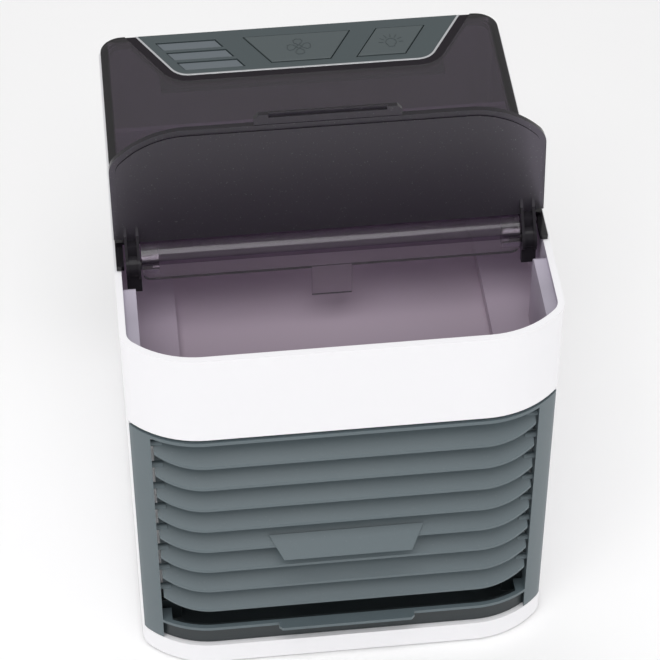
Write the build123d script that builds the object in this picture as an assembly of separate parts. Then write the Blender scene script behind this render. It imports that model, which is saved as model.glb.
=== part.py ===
from build123d import *
from math import cos, radians, sin, tan
import os

# Desktop evaporative air cooler: tank on top, front drawer with louvres and filter, rear fan.
# Frame: +Z up, front face towards -Y, origin on the ground under the middle of the casing.
# Sizes are in millimetres.

# ---- Casing -------------------------------------------------------------------------------
WIDTH = 150.0
DEPTH = 169.0
FOOT_PROUD = 1.0
BASE_HEIGHT = 9.4
SHELL_HEIGHT = 112.6
TANK_HEIGHT = 38.5
WALL = 2.3
FRONT_R_FLAT = 34.8
FRONT_R_TIGHT = 8.2
REAR_R = 9.0
FIT_GAP = 0.3

FRONT = -DEPTH / 2
BACK = DEPTH / 2
BASE_TOP = FOOT_PROUD + BASE_HEIGHT
SEAM = BASE_TOP + SHELL_HEIGHT
RIM = SEAM + TANK_HEIGHT
LID_GAP = 0.5
LID_T = 2.0
DECK_TOP = RIM + LID_GAP + LID_T

# ---- Screws and feet ----------------------------------------------------------------------
SCREW_R = 1.4
SCREW_HEAD_R = 2.8
SCREW_HEAD_H = 1.6
SCREW_CLEAR = 0.1
COLUMN_R = 4.2
COLUMN_X = 67.8
COLUMN_FRONT_Y = FRONT + 25.0
COLUMN_BACK_Y = BACK - 17.0
FOOT_R = 7.0
FOOT_X = 56.0
FOOT_Y = 66.0
FOOT_SEAT = 1.2
FOOT_CHAMFER = 0.4
FOOT_PAD_RIM = 1.6
HEAD_SINK = 1.0
HEAD_CHAMFER = 0.5
CROSS_W = 0.6
CROSS_DEPTH = 0.5
CASE_SCREW_BITE = 14.0
CASE_SCREW_SEAT = FOOT_PROUD + HEAD_SINK + SCREW_HEAD_H
FAN_SCREW_LEN = 5.0
PILOT_DEPTH = 20.0

# ---- Tank ---------------------------------------------------------------------------------
TANK_FLOOR_T = 2.0
SHELF_RISE = 5.0
SHELF_X = 54.7
TANK_BACK_Y = FRONT + 119.0
TANK_ROOT = 1.0
RISER_T = 2.0
DIVIDER_T = 2.0
DIVIDER_BELOW_RIM = 2.2
LEDGE_HALF = 3.0
PAD_X = 68.3
PAD_REAR_Y = FRONT + 40.0
PAD_BELOW_RIM = 2.0
PAD_CORNER_R = 2.0
NOZZLE_X = 26.0
NOZZLE_Y = FRONT + 29.0
NOZZLE_R = 2.4
NOZZLE_BORE_R = 0.8
NOZZLE_FLANGE_R = 4.5
NOZZLE_FLANGE_T = 1.0
NOZZLE_DROP = 3.0

# ---- Fixed deck and lid hinge -------------------------------------------------------------
DECK_EDGE = 0.8
CHEEK_FRONT_Y = FRONT + 45.5
CHEEK_W = 3.4
NOSE_FRONT_Y = FRONT + 50.0
NOSE_R = 5.0
NOSE_HALF_W = 65.5
FLANGE_T = 2.0
FLANGE_LOW = DECK_TOP - 11.8
TONGUE_HALF_W = 7.0
TONGUE_LOW = DECK_TOP - 25.0
TONGUE_T = 1.2
FLANGE_CORNER_R = 3.0
HINGE_BOSS_W = 6.0
HINGE_BOSS_DROP = 4.0
DECK_LIP_DROP = 2.0
DECK_LIP_T = 1.5
SEAT_DROP = 2.4
WELL_INSET = 1.2
WELL_REAR_WALL = 2.5
HINGE_Y = FRONT + 52.0
HINGE_Z = DECK_TOP - 6.0
HINGE_PIN_R = 1.6
HINGE_PIN_CLEAR = 0.06
HINGE_PIN_LEN = 4.6
EAR_R = 5.2
EAR_IN = 65.9
EAR_OUT = 71.0
EAR_RIB_T = 1.0
EAR_REACH = 16.0
EAR_KNEE = 11.0
TAIL_T = 2.2
TAIL_LEN = 9.0
NOTCH_BACK_Y = HINGE_Y + 6.2
LID_OPEN_DEG = 97.0
LID_REAR_Y = FRONT + 45.0
LID_CORNER_CUT = 1.4
LID_EDGE = 0.6
LID_STEP_IN = 2.8
LID_STEP_H = 0.6
LID_BEAD_W = 0.7
LID_BEAD_H = 0.3
HANDLE_HALF_W = 25.0
HANDLE_REACH = 3.2
HANDLE_CHAMFER = 1.6
HANDLE_BACK = 4.0
HANDLE_GRIP_IN = 5.0
HANDLE_GRIP_DEPTH = 1.2
HANDLE_TOP_T = 0.8

# ---- Control panel ------------------------------------------------------------------------
PANEL_REAR_Y = BACK - DECK_EDGE
PANEL_DEPTH = 23.4
PANEL_HALF_REAR = 60.0
PANEL_HALF_FRONT = 46.3
PANEL_FRONT_R = 7.0
PANEL_T = 2.0
PANEL_SINK = 0.4
PANEL_CROWN = 0.2
PANEL_FIT = 0.25
TRIM_W = 0.7
TRIM_T = 0.5
MOAT_W = 4.2
BUTTON_FRONT_Y = PANEL_REAR_Y - 20.1
BUTTON_DEPTH = 15.2
BUTTON_RIM_T = 0.8
BUTTON_RIM_W = 1.2
BUTTON_CHAMFER = 0.25
FAN_KEY_REAR = (-20.7, 18.6)
FAN_KEY_FRONT = (-11.6, 10.1)
LIGHT_KEY_REAR = (28.9, 46.6)
LIGHT_KEY_FRONT = (20.2, 37.9)
BARS = 3
BAR_LEFT = -53.2
BAR_SUNK = 0.3
BAR_GAP = 0.35
BUTTON_PROUD = 0.3
BUTTON_GAP = 0.35
BUTTON_TRAVEL = 0.8
BAR_LEN = 21.6
BAR_DEPTH = 3.9
BAR_PITCH = 6.0
BAR_SHIFT = 3.6
BAR_T = 1.0
BOARD_T = 1.6
BOARD_DROP = 8.0
BOARD_HALF_W = 53.0
BOARD_DEPTH = 17.0
LEG_R = 1.6
CHIP_SIZE = 8.0
CHIP_T = 1.2
SWITCH_SIZE = 6.0
SWITCH_H = 3.4
SWITCH_KNOB_R = 1.7
SWITCH_KNOB_H = 0.8
STEM_R = 1.5

PANEL_LOW = DECK_TOP - PANEL_T - PANEL_SINK
PANEL_TOP = DECK_TOP - PANEL_SINK + PANEL_CROWN
BUTTON_REAR_Y = BUTTON_FRONT_Y + BUTTON_DEPTH
BOARD_TOP = PANEL_LOW - BOARD_DROP
SWITCH_TOP = BOARD_TOP + SWITCH_H + BUTTON_TRAVEL + 0.1

# ---- Front drawer -------------------------------------------------------------------------
DRAWER_GAP = 1.6
BEZEL_T = 2.0
BEZEL_DEPTH = 12.3
BEZEL_RAIL_T = 1.5
BEZEL_RAIL_DEPTH = 11.0
OPENING_HALF_W = 67.3
CHEEK_FLANGE_T = 1.5
CHEEK_FLANGE_BACK = 16.5
PULL_CHAMFER = 1.2
SILL_Z = BASE_TOP + 9.0
SILL_T = 1.4
SILL_DEPTH = 1.6
PULL_HALF_W = 25.0
PULL_REACH = 2.8
GUSSET_W = 3.5
TRAY_GAP = 0.3
TRAY_T = 2.0
TRAY_INSET = 1.6
TRAY_LENGTH = 92.0
TRAY_HALF_W = 62.0
TRAY_WALL_H = 13.0
TRAY_JOIN_Y = FRONT + 13.0
STOP_X = 48.0
STOP_T = 2.0
STOP_BELOW_WALL = 3.0

BEZEL_LOW = BASE_TOP + TRAY_GAP
BEZEL_TOP = SEAM - DRAWER_GAP

# ---- Louvres ------------------------------------------------------------------------------
SLATS = 8
SLAT_PITCH = 11.1
SLAT_TOP_EDGE = FOOT_PROUD + 107.2
SLAT_TILT_DEG = 37.0
SLAT_T = 1.0
SLAT_EDGE_IN = 0.4
SLAT_HALF_W = 66.4
SLAT_REAR = 11.6
PIVOT_BACK = 8.8
PIVOT_R = 1.2
PIVOT_CLEAR = 0.06
PIN_ROOT = 3.0
TAB_SLAT = 5
TAB_HALF_BACK = 27.8
TAB_HALF_FRONT = 22.9
TAB_BEHIND_EDGE = 4.2
TAB_REACH = 5.2
TAB_T = 1.2
CRANK = 7.2
LINK_X = 44.0
LUG_T = 1.4
LUG_R = 1.9
LINK_PIN_R = 0.8
LINK_PIN_CLEAR = 0.06
LINK_W = 3.0
LINK_T = 1.8
LINK_END = 2.4
LINK_CORNER_R = 1.2
ARM_T = 2.4

# ---- Filter -------------------------------------------------------------------------------
FILTER_FRONT_Y = FRONT + 22.0
FILTER_DEPTH = 34.0
FILTER_HALF_W = 56.0
FILTER_TOP = SEAM - 8.0
FILTER_WALL = 2.0
TROUGH_HALF_D = 6.0
TROUGH_END = 6.0
FIN_SETBACK = 1.5
FIN_COUNT = 11
FIN_T = 2.4

# ---- Fan ----------------------------------------------------------------------------------
FAN_Z = BASE_TOP + 56.0
DUCT_R = 45.5
DUCT_WALL = 2.0
DUCT_LENGTH = 26.0
DUCT_BACK_Y = BACK - WALL - 0.4
EAR_OFFSET = DUCT_R - 4.5
EAR_MARGIN = 5.0
EAR_PLATE_T = 3.0
EAR_CORNER_R = 5.0
FAN_BOSS_R = 3.4
FAN_BOSS_SKIN = 0.6
SPIDER_DEPTH = 4.0
SPIDER_ARMS = 3
SPIDER_ARM_W = 3.0
CUP_WALL = 2.2
MOTOR_R = 14.0
MOTOR_LEN = 15.0
MOTOR_BOSS_R = 3.0
SHAFT_LEN = 10.0
SHAFT_R = 1.5
SHAFT_CLEAR = 0.05
HUB_R = 16.5
HUB_LEN = 15.0
HUB_WALL = 2.0
HUB_FACE_T = 2.2
HUB_EDGE_R = 2.5
HUB_AHEAD = 11.5
HUB_SOCKET_R = 4.0
HUB_SOCKET_LEN = 7.5
BLADES = 7
BLADE_TIP_R = DUCT_R - 2.2
BLADE_T = 1.6
BLADE_PITCH_DEG = 38.0
BLADE_CHORD = 21.0
GRILLE_R = DUCT_R + 5.5
GRILLE_PROUD = 3.4
GRILLE_RING_T = 1.6
GRILLE_RINGS = 6
GRILLE_SPOKES = 12
GRILLE_SPOKE_W = 1.6
GRILLE_BAR_D = 1.8
GRILLE_SINK = 0.4
GRILLE_RIM_IN = 1.5
GRILLE_CHAMFER = 1.2

MOTOR_BACK_Y = DUCT_BACK_Y - 1.0
MOTOR_FRONT_Y = MOTOR_BACK_Y - MOTOR_LEN

# ---- Power inlet and night light ----------------------------------------------------------
SOCKET_X = 50.0
SOCKET_Z = BASE_TOP + 9.0
SOCKET_W = 9.0
SOCKET_H = 4.2
SOCKET_D = 6.5
SOCKET_GAP = 0.4
SOCKET_WALL = 0.5
SOCKET_SINK = 0.6
SOCKET_CORNER_R = 1.2
SOCKET_TONGUE_W = 5.2
SOCKET_TONGUE_T = 0.7
POWER_BOARD_W = 18.0
POWER_BOARD_D = 21.5
COIL_R = 3.0
COIL_H = 5.0
POST_R = 1.8
POST_X = 6.0
LED_COUNT = 5
LED_PITCH = 20.0
LED_SIZE = 3.2
LED_T = 1.2
STRIP_DEPTH = 8.0
STRIP_END = 6.0
STRIP_Y = FRONT + 70.0


def box(x0, x1, y0, y1, z0, z1):
    """Upright block between two opposite corners."""
    return Pos((x0 + x1) / 2, (y0 + y1) / 2, (z0 + z1) / 2) * Box(x1 - x0, y1 - y0, z1 - z0)


def sides(shape):
    """A piece and its mirror image across the middle plane."""
    return shape + mirror(shape, Plane.YZ)


def rod(centre, radius, length, axis):
    """Round bar that starts at centre and runs along an axis."""
    plane = Plane(origin=centre, z_dir=axis)
    return extrude(plane * Circle(radius), length)


def plan(inset=0.0):
    """Plan outline of the casing: flat front, two-arc front corners, round rear corners."""
    half = WIDTH / 2 - inset
    flat_r = FRONT_R_FLAT - inset
    tight_r = FRONT_R_TIGHT - inset
    rear_r = REAR_R - inset
    corner_w = flat_r * sin(radians(45)) + tight_r * (1 - cos(radians(45)))
    front = Line((0, FRONT + inset), (half - corner_w, FRONT + inset))
    sweep = JernArc(front @ 1, front % 1, flat_r, 45)
    tight = JernArc(sweep @ 1, sweep % 1, tight_r, 45)
    side = Line(tight @ 1, (half, BACK - inset - rear_r))
    rear = JernArc(side @ 1, side % 1, rear_r, 90)
    back = Line(rear @ 1, (0, BACK - inset))
    right = Curve() + [front, sweep, tight, side, rear, back]
    return make_face([*right.edges(), *mirror(right, Plane.YZ).edges()])


def prism(low, high, inset=0.0):
    """The casing's outline, drawn in by inset, between two heights."""
    return extrude(Pos(0, 0, low) * plan(inset), high - low)


def band(low, high, inset, thickness):
    """Wall that follows the casing's outline."""
    return prism(low, high, inset) - prism(low, high, inset + thickness)


def column_spots():
    """Plan positions of the four screws that hold the casing together."""
    return [(x, y) for x in (-COLUMN_X, COLUMN_X) for y in (COLUMN_FRONT_Y, COLUMN_BACK_Y)]


def columns(radius, low, high):
    """Round pillars at the four screw positions."""
    return [Pos(x, y, low) * extrude(Circle(radius), high - low) for x, y in column_spots()]


def ear_spots():
    """Positions of the fan's four mounting ears around its axis."""
    return [(x, FAN_Z + z) for x in (-EAR_OFFSET, EAR_OFFSET) for z in (-EAR_OFFSET, EAR_OFFSET)]


def disc(radius, start, length):
    """Round bar on the fan's axis, from start towards the back."""
    return rod((0, start, FAN_Z), radius, length, (0, 1, 0))


# ---- Casing pieces ------------------------------------------------------------------------
def base_plate():
    """Shallow foot moulding, open underneath, with pads for the feet and screw towers."""
    body = prism(FOOT_PROUD, BASE_TOP) - prism(FOOT_PROUD, BASE_TOP - WALL, WALL)
    pads = [
        Pos(x, y, FOOT_PROUD) * extrude(Circle(FOOT_R + FOOT_PAD_RIM), BASE_HEIGHT)
        for x in (-FOOT_X, FOOT_X)
        for y in (-FOOT_Y, FOOT_Y)
    ]
    towers = columns(COLUMN_R, FOOT_PROUD + HEAD_SINK, BASE_TOP)
    body = (body + pads + towers) & prism(FOOT_PROUD, BASE_TOP)
    seats = [
        Pos(x, y, FOOT_PROUD) * extrude(Circle(FOOT_R), FOOT_SEAT)
        for x in (-FOOT_X, FOOT_X)
        for y in (-FOOT_Y, FOOT_Y)
    ]
    holes = columns(SCREW_R + SCREW_CLEAR, FOOT_PROUD, BASE_TOP)
    heads = columns(SCREW_HEAD_R + 2 * SCREW_CLEAR, FOOT_PROUD, CASE_SCREW_SEAT)
    return body - seats - holes - heads


def rubber_feet():
    """Four rubber discs let into the base."""
    foot = extrude(Circle(FOOT_R), FOOT_PROUD + FOOT_SEAT)
    foot = chamfer(foot.edges().group_by(Axis.Z)[0], FOOT_CHAMFER)
    return [Pos(x, y, 0) * foot for x in (-FOOT_X, FOOT_X) for y in (-FOOT_Y, FOOT_Y)]


def screw(length):
    """Pan-head screw pointing up, seated at its head's upper face, with a cross recess."""
    head = extrude(Circle(SCREW_HEAD_R), -SCREW_HEAD_H)
    head = chamfer(head.edges().group_by(Axis.Z)[0], HEAD_CHAMFER)
    reach = SCREW_HEAD_R * 1.1
    cross = Box(reach, CROSS_W, 2 * CROSS_DEPTH) + Box(CROSS_W, reach, 2 * CROSS_DEPTH)
    return head + extrude(Circle(SCREW_R), length) - Pos(0, 0, -SCREW_HEAD_H) * cross


def case_screws():
    """Long screws that clamp base, shell and tank together from underneath."""
    long_screw = screw(BASE_TOP - CASE_SCREW_SEAT + CASE_SCREW_BITE)
    return [Pos(x, y, CASE_SCREW_SEAT) * long_screw for x, y in column_spots()]


def rear_shell():
    """Lower casing: side walls and back wall in one U, open at the front for the drawer."""
    body = band(BASE_TOP, SEAM, 0, WALL)
    body -= box(-WIDTH, WIDTH, FRONT - 1, FRONT + BEZEL_DEPTH + FIT_GAP, BASE_TOP - 1, SEAM + 1)
    intake = disc(DUCT_R, BACK - WALL - 1, WALL + 2)
    socket = Box(SOCKET_W + 2 * SOCKET_GAP, 3 * WALL, SOCKET_H + 2 * SOCKET_GAP)
    body -= intake + Pos(SOCKET_X, BACK, SOCKET_Z) * socket
    stand_off = BACK - WALL - DUCT_BACK_Y
    bosses = [rod((x, BACK - WALL, z), FAN_BOSS_R, -stand_off, (0, 1, 0)) for x, z in ear_spots()]
    pilots = [
        rod((x, BACK - FAN_BOSS_SKIN, z), SCREW_R + SCREW_CLEAR, -PILOT_DEPTH, (0, 1, 0))
        for x, z in ear_spots()
    ]
    return body + bosses - pilots


def rear_grille():
    """Round intake guard of concentric rings and spokes, clipped over the rear opening."""
    rim_in = DUCT_R - GRILLE_RIM_IN
    step = (GRILLE_R - 4.0) / GRILLE_RINGS
    bar_y = BACK + GRILLE_PROUD - GRILLE_SINK - GRILLE_BAR_D
    guard = disc(GRILLE_R, BACK, GRILLE_PROUD) - disc(rim_in, BACK, GRILLE_PROUD)
    guard = chamfer(guard.edges().group_by(Axis.Y)[-1].sort_by(SortBy.LENGTH)[-1], GRILLE_CHAMFER)
    for number in range(1, GRILLE_RINGS):
        outer = number * step + GRILLE_RING_T / 2
        start = bar_y + FIT_GAP / 2
        guard += disc(outer, start, GRILLE_BAR_D) - disc(outer - GRILLE_RING_T, start, GRILLE_BAR_D)
    guard += disc(step * 0.9, bar_y, GRILLE_BAR_D + FIT_GAP)
    half = GRILLE_SPOKE_W / 2
    spoke = box(-half, half, bar_y, bar_y + GRILLE_BAR_D, step / 2, DUCT_R)
    for number in range(GRILLE_SPOKES):
        guard += Pos(0, 0, FAN_Z) * Rot(Y=360 / GRILLE_SPOKES * number) * spoke
    length = WALL + FIT_GAP
    collar = disc(DUCT_R - FIT_GAP, BACK - WALL, length) - disc(rim_in - FIT_GAP, BACK - WALL, length)
    return guard + collar


def water_tank():
    """Upper casing: open water tank in front, dry bay for the electronics behind it."""
    body = band(SEAM, RIM, 0, WALL)
    root = prism(SEAM, RIM, TANK_ROOT)
    half = WIDTH / 2 - TANK_ROOT
    back_y = TANK_BACK_Y + DIVIDER_T
    step_x = SHELF_X + RISER_T
    shelf_z = SEAM + SHELF_RISE
    floor = box(-step_x, step_x, FRONT, back_y, SEAM, SEAM + TANK_FLOOR_T) & root
    shelf = sides(box(SHELF_X, half, FRONT, back_y, shelf_z, shelf_z + TANK_FLOOR_T)) & root
    riser = sides(box(SHELF_X, step_x, FRONT, TANK_BACK_Y, SEAM, shelf_z + 1)) & root
    divider = box(-half, half, TANK_BACK_Y, back_y, SEAM, RIM - DIVIDER_BELOW_RIM)
    pad = box(PAD_X, half, FRONT, PAD_REAR_Y, shelf_z, RIM - PAD_BELOW_RIM)
    corner = pad.edges().filter_by(Axis.X).group_by(Axis.Z)[-1].sort_by(Axis.Y)[-1]
    pad = fillet(corner, PAD_CORNER_R)
    pads = sides(pad) & root
    pillars = columns(COLUMN_R, BASE_TOP, shelf_z + 1)
    ledge = box(COLUMN_X - LEDGE_HALF, half, COLUMN_BACK_Y - LEDGE_HALF, COLUMN_BACK_Y + LEDGE_HALF,
                SEAM, shelf_z)
    body = body + floor + shelf + riser + divider + pads + pillars + sides(ledge)
    pilots = columns(SCREW_R + SCREW_CLEAR, BASE_TOP, BASE_TOP + PILOT_DEPTH)
    drips = [Pos(x, NOZZLE_Y, SEAM) * Cylinder(NOZZLE_R, 20) for x in (-NOZZLE_X, NOZZLE_X)]
    return body - pilots - drips


def drip_nozzles():
    """Rubber drip valves pressed into the tank floor above the filter."""
    top = SEAM + TANK_FLOOR_T
    tube = Pos(0, 0, SEAM - NOZZLE_DROP) * extrude(Circle(NOZZLE_R), TANK_FLOOR_T + NOZZLE_DROP)
    flange = Pos(0, 0, top) * extrude(Circle(NOZZLE_FLANGE_R), NOZZLE_FLANGE_T)
    nozzle = tube + flange - Pos(0, 0, SEAM) * Cylinder(NOZZLE_BORE_R, 20)
    return [Pos(x, NOZZLE_Y, 0) * nozzle for x in (-NOZZLE_X, NOZZLE_X)]


# ---- Deck, lid and hinge ------------------------------------------------------------------
def panel_face(grow=0.0):
    """Outline of the control panel: wide at the back, slanted sides, rounded front corners."""
    front_y = PANEL_REAR_Y - PANEL_DEPTH
    slant = (PANEL_HALF_REAR - PANEL_HALF_FRONT) / PANEL_DEPTH
    side_grow = grow * (1 + slant * slant) ** 0.5
    rear, front = PANEL_REAR_Y, front_y - grow
    half_rear = PANEL_HALF_REAR + side_grow
    half_front = PANEL_HALF_FRONT - slant * grow + side_grow
    outline = Polyline(
        (-half_front, front), (half_front, front), (half_rear, rear), (-half_rear, rear), close=True
    )
    face = make_face(outline)
    corners = face.vertices().group_by(Axis.Y)[0]
    return fillet(corners, PANEL_FRONT_R + grow)


def deck_cover():
    """Tinted fixed cover: rolled nose and front flange, side cheeks, seat for the panel."""
    low = DECK_TOP - LID_T
    skin = prism(low, DECK_TOP, DECK_EDGE)
    skin -= box(-WIDTH, WIDTH, FRONT - 1, CHEEK_FRONT_Y, low - 1, DECK_TOP + 1)
    inner = WIDTH / 2 - CHEEK_W
    skin -= box(-inner, inner, FRONT, NOSE_FRONT_Y + NOSE_R, low - 1, DECK_TOP + 1)
    notch = box(NOSE_HALF_W, inner, FRONT, NOTCH_BACK_Y, low - 1, DECK_TOP + 1)
    skin -= sides(notch)
    nose_y, nose_z = NOSE_FRONT_Y + NOSE_R, DECK_TOP - NOSE_R
    quarter = rod((-NOSE_HALF_W, nose_y, nose_z), NOSE_R, 2 * NOSE_HALF_W, (1, 0, 0))
    quarter -= rod((-NOSE_HALF_W, nose_y, nose_z), NOSE_R - FLANGE_T, 2 * NOSE_HALF_W, (1, 0, 0))
    quarter &= box(-WIDTH, WIDTH, FRONT, nose_y, nose_z, DECK_TOP + 1)
    flange = box(-NOSE_HALF_W, NOSE_HALF_W, NOSE_FRONT_Y, NOSE_FRONT_Y + FLANGE_T, FLANGE_LOW, nose_z)
    corners = flange.edges().filter_by(Axis.Y).group_by(Axis.Z)[0]
    flange = fillet(corners, FLANGE_CORNER_R)
    boss = box(NOSE_HALF_W - HINGE_BOSS_W, NOSE_HALF_W, HINGE_Y, nose_y + 1.5,
               HINGE_Z - HINGE_BOSS_DROP, low + 0.5)
    skin = skin + quarter + flange + sides(boss)
    lip = band(low - DECK_LIP_DROP, low + 0.5, WALL + FIT_GAP, DECK_LIP_T)
    lip &= box(-WIDTH, WIDTH, NOTCH_BACK_Y + 4, BACK, low - 3, DECK_TOP)
    seat = extrude(Pos(0, 0, low - SEAT_DROP) * panel_face(MOAT_W), SEAT_DROP + 0.6)
    seat &= prism(low - 3, DECK_TOP, WALL + FIT_GAP + 1)
    skin = skin + lip + seat
    recess = extrude(Pos(0, 0, PANEL_LOW) * panel_face(PANEL_FIT), 10)
    line = extrude(Pos(0, 0, DECK_TOP - TRIM_T - PANEL_SINK) * panel_face(TRIM_W + PANEL_FIT), 10)
    moat = extrude(Pos(0, 0, DECK_TOP - PANEL_SINK) * panel_face(MOAT_W), 10)
    well = extrude(Pos(0, 0, low - 5) * panel_face(-WELL_INSET), 10)
    well &= box(-WIDTH, WIDTH, FRONT, PANEL_REAR_Y - WELL_REAR_WALL, 0, DECK_TOP)
    skin = skin - recess - line - moat - well
    holes = [
        rod((side * (NOSE_HALF_W + 1), HINGE_Y, HINGE_Z), HINGE_PIN_R + HINGE_PIN_CLEAR, 7,
            (-side, 0, 0))
        for side in (-1, 1)
    ]
    skin -= holes
    tongue = box(-TONGUE_HALF_W, TONGUE_HALF_W, NOSE_FRONT_Y, NOSE_FRONT_Y + TONGUE_T,
                 TONGUE_LOW, FLANGE_LOW + 1)
    return skin + tongue


def lid_closed():
    """Flip-up filling lid in its closed place: plate, inner lip, handle and two hinge ears."""
    low = DECK_TOP - LID_T
    outline = prism(low, DECK_TOP, LID_EDGE)
    plate = outline & box(-WIDTH, WIDTH, FRONT - 1, LID_REAR_Y, low, DECK_TOP)
    tip = FRONT - HANDLE_REACH
    handle = box(-HANDLE_HALF_W, HANDLE_HALF_W, tip, FRONT + HANDLE_BACK, low, DECK_TOP)
    handle = chamfer(handle.edges().filter_by(Axis.Z).group_by(Axis.Y)[0], HANDLE_CHAMFER)
    grip = HANDLE_HALF_W - HANDLE_GRIP_IN
    notch = box(-grip, grip, tip - 1, tip + HANDLE_GRIP_DEPTH, low - 1, DECK_TOP - HANDLE_TOP_T)
    step = prism(low - LID_STEP_H, low + 0.5, LID_STEP_IN)
    step &= box(-WIDTH, WIDTH, FRONT - 1, LID_REAR_Y, low - 5, DECK_TOP)
    bead = band(low - LID_BEAD_H, low + 0.5, LID_EDGE, LID_BEAD_W)
    bead &= box(-WIDTH, WIDTH, FRONT - 1, LID_REAR_Y, low - 5, DECK_TOP)
    corner = box(EAR_OUT + FIT_GAP, WIDTH, LID_REAR_Y - LID_CORNER_CUT, LID_REAR_Y + 1,
                 low - 2, DECK_TOP + 1)
    body = plate + handle - notch + step + bead - sides(corner)
    return body + hinge_ear(-1) + hinge_ear(1)


def hinge_ear(side):
    """Two thin ribs round a solid knuckle, a stop tail, and the pin that enters the deck."""
    low = DECK_TOP - LID_T
    profile = make_face(
        Polyline(
            (HINGE_Y - EAR_R * 0.8, HINGE_Z - EAR_R * 0.6),
            (HINGE_Y - EAR_KNEE, low - 2.3),
            (HINGE_Y - EAR_REACH, low + 0.3),
            (LID_REAR_Y, low + 0.3),
            (HINGE_Y - EAR_R * 0.6, HINGE_Z + EAR_R * 0.8),
            (HINGE_Y, HINGE_Z),
            close=True,
        )
    )
    to_side = Plane(origin=(0, 0, 0), x_dir=(0, 1, 0), z_dir=(1, 0, 0))
    ribs = []
    for start in (EAR_IN, EAR_OUT - EAR_RIB_T):
        web = Pos(start, 0, 0) * extrude(to_side * profile, EAR_RIB_T)
        knuckle = rod((start, HINGE_Y, HINGE_Z), EAR_R, EAR_RIB_T, (1, 0, 0))
        ribs.append(web + knuckle)
    core = rod((EAR_IN, HINGE_Y, HINGE_Z), EAR_R - EAR_RIB_T, EAR_OUT - EAR_IN, (1, 0, 0))
    bridge = box(EAR_IN, EAR_OUT, LID_REAR_Y - 1.0, HINGE_Y - 3.0, HINGE_Z - 0.5, low + 0.2)
    tail_low = HINGE_Z - EAR_RIB_T - TAIL_T
    tail = box(EAR_IN, EAR_OUT, HINGE_Y, HINGE_Y + TAIL_LEN, tail_low, tail_low + TAIL_T)
    pin = rod((EAR_IN + 0.5, HINGE_Y, HINGE_Z), HINGE_PIN_R, -HINGE_PIN_LEN, (1, 0, 0))
    ear = core + ribs + bridge + tail + pin
    return ear if side > 0 else mirror(ear, Plane.YZ)


def flap_lid():
    """The filling lid, swung open about its hinge line."""
    turn = Pos(0, HINGE_Y, HINGE_Z) * Rot(X=-LID_OPEN_DEG) * Pos(0, -HINGE_Y, -HINGE_Z)
    return turn * lid_closed()


# ---- Control panel ------------------------------------------------------------------------
def quad(left_rear, right_rear, right_front, left_front, front_y, depth, grow=0.0):
    """Four-sided face with its rear and front edges along X, grown outwards by grow."""
    rear_y = front_y + depth
    slant_l = (left_front - left_rear) / depth
    slant_r = (right_front - right_rear) / depth
    grow_l = grow * (1 + slant_l**2) ** 0.5
    grow_r = grow * (1 + slant_r**2) ** 0.5
    points = [
        (left_rear - slant_l * grow - grow_l, rear_y + grow),
        (left_front + slant_l * grow - grow_l, front_y - grow),
        (right_front + slant_r * grow + grow_r, front_y - grow),
        (right_rear - slant_r * grow + grow_r, rear_y + grow),
    ]
    return make_face(Polyline(*points, close=True))


def fan_key(grow=0.0):
    """Speed key: a trapezoid, wide at the back."""
    return quad(*FAN_KEY_REAR, *reversed(FAN_KEY_FRONT), BUTTON_FRONT_Y, BUTTON_DEPTH, grow)


def light_key(grow=0.0):
    """Light key: a parallelogram that leans with the speed key's right side."""
    return quad(*LIGHT_KEY_REAR, *reversed(LIGHT_KEY_FRONT), BUTTON_FRONT_Y, BUTTON_DEPTH, grow)


def bar_faces(grow=0.0):
    """Level bars stepped along the panel's left side."""
    lean = BAR_SHIFT / BAR_PITCH * BAR_DEPTH
    faces = []
    for number in range(BARS):
        front_y = BUTTON_REAR_Y - BAR_PITCH * number - BAR_DEPTH
        left = BAR_LEFT + BAR_SHIFT * number
        right = left + BAR_LEN
        faces.append(quad(left, right, right + lean, left + lean, front_y, BAR_DEPTH, grow))
    return faces


def control_panel():
    """Inlaid panel with openings for the keys and shallow seats for the level bars."""
    body = extrude(Pos(0, 0, PANEL_LOW) * panel_face(), PANEL_TOP - PANEL_LOW)
    for face in (fan_key(BUTTON_GAP), light_key(BUTTON_GAP)):
        body -= extrude(Pos(0, 0, PANEL_LOW - 1) * face, 10)
    for face in bar_faces(BAR_GAP):
        body -= extrude(Pos(0, 0, PANEL_TOP - BAR_T) * face, 5)
    return body


def panel_trim():
    """Thin bright line round the panel's front and sides."""
    low = DECK_TOP - PANEL_SINK - TRIM_T
    ring = extrude(Pos(0, 0, low) * panel_face(TRIM_W + 0.2), TRIM_T + 0.25)
    return ring - extrude(Pos(0, 0, low - 1) * panel_face(0.05), 5)


def level_bars():
    """Light guides for the fan level, one under another."""
    return [extrude(Pos(0, 0, PANEL_TOP - BAR_T) * face, BAR_T - BAR_SUNK) for face in bar_faces()]


def key(face, wide_face):
    """Push key: cap in the panel, retaining rim below it and a stem down to its switch."""
    low = PANEL_LOW - BUTTON_RIM_T - 0.1
    cap = extrude(Pos(0, 0, low) * face, PANEL_TOP + BUTTON_PROUD - low)
    cap = chamfer(cap.faces().sort_by(Axis.Z)[-1].edges(), BUTTON_CHAMFER)
    rim = extrude(Pos(0, 0, low) * wide_face, BUTTON_RIM_T)
    centre = cap.bounding_box().center()
    stem = Pos(centre.X, centre.Y, SWITCH_TOP) * extrude(Circle(STEM_R), PANEL_LOW - SWITCH_TOP)
    return cap + rim + stem


def fan_button():
    """Speed key."""
    return key(fan_key(), fan_key(BUTTON_RIM_W))


def light_button():
    """Light key."""
    return key(light_key(), light_key(BUTTON_RIM_W))


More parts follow.
